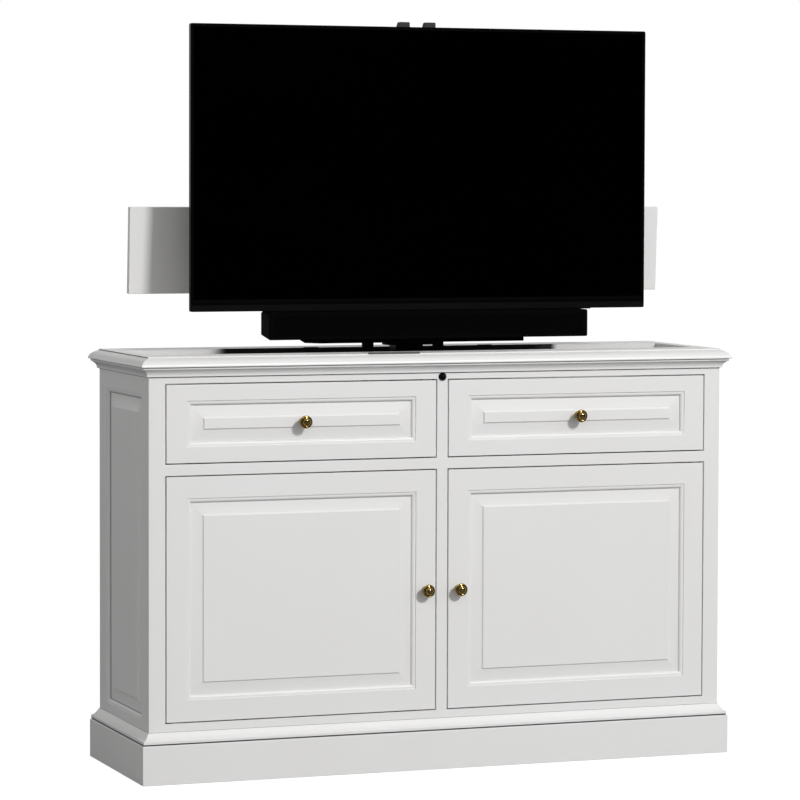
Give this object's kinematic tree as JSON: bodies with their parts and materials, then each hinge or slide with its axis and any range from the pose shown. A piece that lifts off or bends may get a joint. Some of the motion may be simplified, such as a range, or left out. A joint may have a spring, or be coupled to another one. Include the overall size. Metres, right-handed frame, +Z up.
{
  "type": "television lift cabinet",
  "caption": "Low panelled cabinet with drawers above doors, whose top opens for a screen and soundbar that rise on a telescopic lift.",
  "frame": {"origin": "middle of the footprint on the floor, under the centre of the bounding box", "axes": "+Z up, -Y the cabinet's front with the doors and drawers, +X to the right seen from the front"},
  "size_m": [1.35, 0.432, 1.6067],
  "materials": {
    "paint": "satin off-white paint on wood board",
    "plywood": "clear-sealed birch plywood",
    "brass": "aged satin brass",
    "white_plastic": "matte white",
    "black_gloss": "gloss black",
    "black_plastic": "matte black",
    "black_steel": "black powder coat",
    "column_metal": "black anodised",
    "felt": "black felt",
    "rubber": "matte black",
    "screen": "dark screen glass, switched off",
    "grille_cloth": "black speaker cloth"
  },
  "bodies": {
    "cabinet": {"plinth_front": "paint", "plinth_sides": "paint", "plinth_rear": "paint", "base_moulding": "paint", "bottom_board": "paint", "side_frame_left": "paint", "side_frame_right": "paint", "side_panel_left": "paint", "side_panel_right": "paint", "face_stiles": "paint", "face_rails": "paint", "back_panel": "paint", "top_front": "paint", "top_back": "paint", "top_sides": "paint", "cornice_moulding": "paint", "drawer_shelf": "plywood", "drawer_guides": "plywood", "door_pivot_pins": "brass", "door_catches": "white_plastic", "remote_sensor": "black_gloss", "lift_foot": "black_steel", "lift_outer_column": "column_metal", "lift_motor": "black_steel", "lift_brace": "black_steel", "control_box": "black_plastic", "lid_post_guides": "black_steel", "opening_felt": "felt", "cable_bushing": "black_plastic"},
    "lift_middle": {"lift_middle_column": "column_metal"},
    "lift_carriage": {"lift_inner_column": "column_metal", "lift_head": "black_steel", "mount_rails": "black_steel", "lid_skids": "black_plastic", "screen_frame": "black_gloss", "screen_glass": "screen", "screen_housing": "black_plastic", "soundbar_shelf": "black_steel", "soundbar_case": "black_plastic", "soundbar_caps": "black_gloss", "soundbar_grille": "grille_cloth"},
    "lid_carrier": {"lid_posts": "black_steel", "lid_hinge_rod": "black_steel"},
    "lid": {"lid_board": "paint", "lid_ears": "black_steel", "lid_bumpers": "rubber"},
    "drawer_left": {"drawer_left_frame": "paint", "drawer_left_panel": "paint", "drawer_left_box": "plywood", "drawer_left_knob": "brass"},
    "drawer_right": {"drawer_right_frame": "paint", "drawer_right_panel": "paint", "drawer_right_box": "plywood", "drawer_right_knob": "brass"},
    "door_left": {"door_left_frame": "paint", "door_left_panel": "paint", "door_left_knob": "brass"},
    "door_right": {"door_right_frame": "paint", "door_right_panel": "paint", "door_right_knob": "brass"}
  },
  "joints": [
    {"name": "lift_travel", "type": "slide", "parent": "cabinet", "child": "lift_carriage", "axis": [0, 0, 1], "range_m": [-0.75, 0]},
    {"name": "middle_travel", "type": "slide", "parent": "cabinet", "child": "lift_middle", "axis": [0, 0, 1], "range_m": [-0.376, 0.001]},
    {"name": "lid_travel", "type": "slide", "parent": "cabinet", "child": "lid_carrier", "axis": [0, 0, 1], "range_m": [-0.117, 0.001]},
    {"name": "lid_hinge", "type": "hinge", "parent": "lid_carrier", "child": "lid", "pos_m": [0, 0.074, 1.0246], "axis": [1, 0, 0], "range_deg": [-10, 0]},
    {"name": "drawer_left_slide", "type": "slide", "parent": "cabinet", "child": "drawer_left", "axis": [0, -1, 0], "range_m": [0, 0.045]},
    {"name": "drawer_right_slide", "type": "slide", "parent": "cabinet", "child": "drawer_right", "axis": [0, -1, 0], "range_m": [0, 0.045]},
    {"name": "door_left_hinge", "type": "hinge", "parent": "cabinet", "child": "door_left", "pos_m": [-0.5957, -0.178, 0.3856], "axis": [0, 0, -1], "range_deg": [0, 105]},
    {"name": "door_right_hinge", "type": "hinge", "parent": "cabinet", "child": "door_right", "pos_m": [0.5957, -0.178, 0.3856], "axis": [0, 0, 1], "range_deg": [0, 105]}
  ],
  "couplings": [
    {"joint": "middle_travel", "follows": "lift_travel", "ratio": 0.5},
    {"joint": "lid_travel", "follows": "lift_travel", "ratio": 0.15467}
  ]
}
